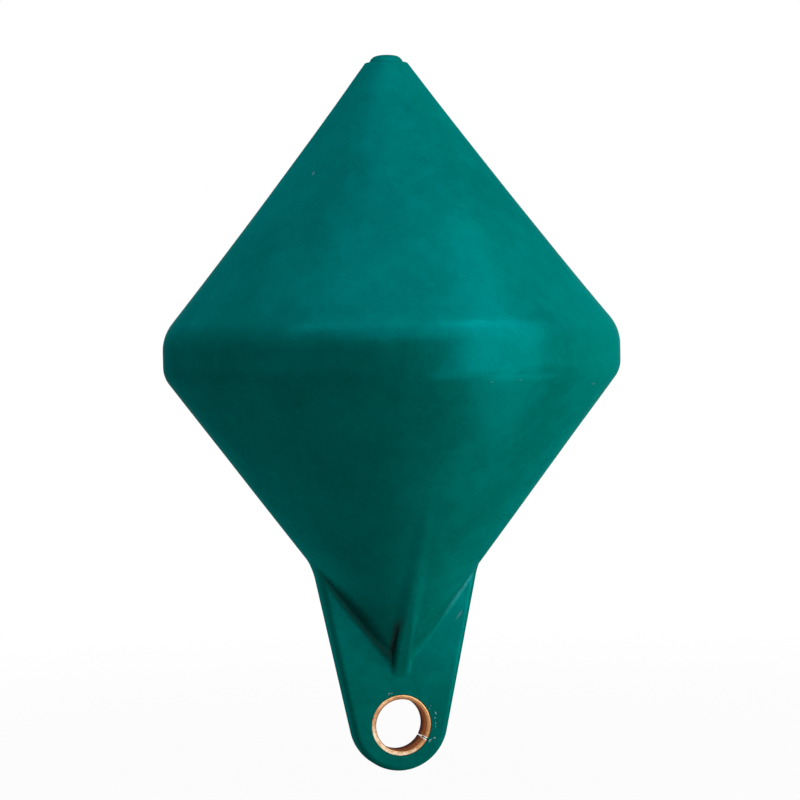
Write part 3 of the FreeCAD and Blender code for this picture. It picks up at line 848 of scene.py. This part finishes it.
# --------------------------------------------------------------------------------------------
# Floor, camera and light, in metres
# --------------------------------------------------------------------------------------------
FLOOR_HALF = 60.0
FLOOR_GAP = 0.0005
FLOOR_LIT = 0.97


def plane(name, half, z):
    mesh = bpy.data.meshes.new(name)
    mesh.from_pydata([(-half, -half, z), (half, -half, z), (half, half, z), (-half, half, z)],
                     [], [(0, 1, 2, 3)])
    return add(mesh, name)


floor = plane("floor", FLOOR_HALF, float_low.z * MM - FLOOR_GAP)
dress(floor, studio_white("floor_white", FLOOR_LIT))

# The camera stands to the left of the lug's face, nearly level, and leans a little
AZIMUTH = math.radians(-14.0)
AXIS_RANGE = 2.5
CAMERA_Z = 0.0459
PAN = -0.002648
TILT = -0.02798
ROLL = 0.01863
SENSOR_MM = 36.0
LENS_MM = 128.475


def camera_axes():
    """The camera's right, up and forward, turned in order by its pan, tilt and roll."""
    forward = Vector((-math.sin(AZIMUTH), math.cos(AZIMUTH), 0))
    up = Vector((0, 0, 1))
    right = forward.cross(up)
    for turn, about in ((PAN, "up"), (TILT, "right"), (ROLL, "forward")):
        axis = {"up": up, "right": right, "forward": forward}[about].copy()
        spin = Matrix.Rotation(turn, 3, axis)
        forward, right, up = spin @ forward, spin @ right, spin @ up
    return right, up, forward


def add_camera():
    right, up, forward = camera_axes()
    camera = bpy.data.objects.new("camera", bpy.data.cameras.new("camera"))
    scene.collection.objects.link(camera)
    camera.data.sensor_width = SENSOR_MM
    camera.data.lens = LENS_MM
    pose = Matrix((right, up, -forward)).transposed().to_4x4()
    pose.translation = (AXIS_RANGE * math.sin(AZIMUTH), -AXIS_RANGE * math.cos(AZIMUTH), CAMERA_Z)
    camera.matrix_world = pose
    scene.camera = camera


add_camera()


def softbox(name, bearing, height, distance, size, power, tint, twist=0.0, diffuse=True,
            glossy=True):
    """An area light that faces the origin, placed by its bearing to the right of the camera's
    own, and twisted about its beam. It can be left out of diffuse or of glossy light."""
    turn = AZIMUTH + math.radians(bearing)
    lamp = bpy.data.lights.new(name, "AREA")
    lamp.shape = "RECTANGLE"
    lamp.size, lamp.size_y = size
    lamp.energy = power
    lamp.color = tint
    item = bpy.data.objects.new(name, lamp)
    place = Vector((distance * math.sin(turn), -distance * math.cos(turn), height))
    aim = (-place).to_track_quat("-Z", "Y").to_matrix() @ Matrix.Rotation(math.radians(twist), 3, "Z")
    item.matrix_world = Matrix.Translation(place) @ aim.to_4x4()
    item.visible_diffuse = diffuse
    item.visible_glossy = glossy
    item.visible_camera = False
    scene.collection.objects.link(item)


COOL = (0.75, 0.94, 1.18)
TEAL = (0.6, 0.95, 1.25)
# Name, bearing, height, distance, size, power and tint. The strip and the cards give the long
# highlight on the band and the cone under it, and the sky gives the upper cone's even sheen.
softbox("key", 79.0, -0.13, 2.4, (2.0, 0.4), 37.0, (1.0, 1.0, 0.97), glossy=False)
softbox("strip", 52.0, 0.17, 0.56, (0.42, 0.80), 3.44, TEAL, twist=-14.0, diffuse=False)
softbox("strip_top", 68.8, 0.575, 0.417, (0.25, 0.16), 0.25, TEAL, diffuse=False)
softbox("corner_card", 43.0, -0.19, 0.45, (0.40, 0.19), 0.46, (0.65, 0.95, 1.18), diffuse=False)
softbox("low_card", 62.0, -0.27, 0.36, (0.24, 0.24), 0.52, (0.7, 0.95, 1.1), diffuse=False)
softbox("fill", -112.0, -0.31, 0.27, (0.12, 0.12), 0.16, (0.8, 0.95, 1.0), glossy=False)
softbox("low_fill", 88.0, -0.28, 0.7, (0.14, 0.14), 0.32, (1.0, 1.0, 0.95), glossy=False)
softbox("sky", 4.0, 3.2, 1.2, (5.4, 1.2), 40.0, COOL)
softbox("sky_low", 8.0, 2.16, 2.08, (3.0, 2.2), 32.0, COOL, diffuse=False)
softbox("top", 180.0, 3.0, 0.2, (2.6, 0.7), 36.0, COOL, glossy=False)

AMBIENT = 0.027


def studio_world(name):
    """A world that lights the object faintly, and is white to the camera and in reflections."""
    world = bpy.data.worlds.new(name)
    world.use_nodes = True
    tree = world.node_tree
    tree.nodes.clear()
    path = tree.nodes.new("ShaderNodeLightPath")
    seen = path.outputs["Is Camera Ray"]
    for ray in ("Is Glossy Ray", "Is Transmission Ray"):
        either = tree.nodes.new("ShaderNodeMath")
        either.operation = "MAXIMUM"
        tree.links.new(seen, either.inputs[0])
        tree.links.new(path.outputs[ray], either.inputs[1])
        seen = either.outputs[0]
    strength = tree.nodes.new("ShaderNodeMapRange")
    strength.inputs["To Min"].default_value = AMBIENT
    strength.inputs["To Max"].default_value = 1.0
    background = tree.nodes.new("ShaderNodeBackground")
    background.inputs["Color"].default_value = WHITE
    output = tree.nodes.new("ShaderNodeOutputWorld")
    tree.links.new(seen, strength.inputs["Value"])
    tree.links.new(strength.outputs[0], background.inputs["Strength"])
    tree.links.new(background.outputs[0], output.inputs["Surface"])
    return world


scene.world = studio_world("studio")
scene.view_settings.view_transform = "Standard"

bpy.context.view_layer.update()
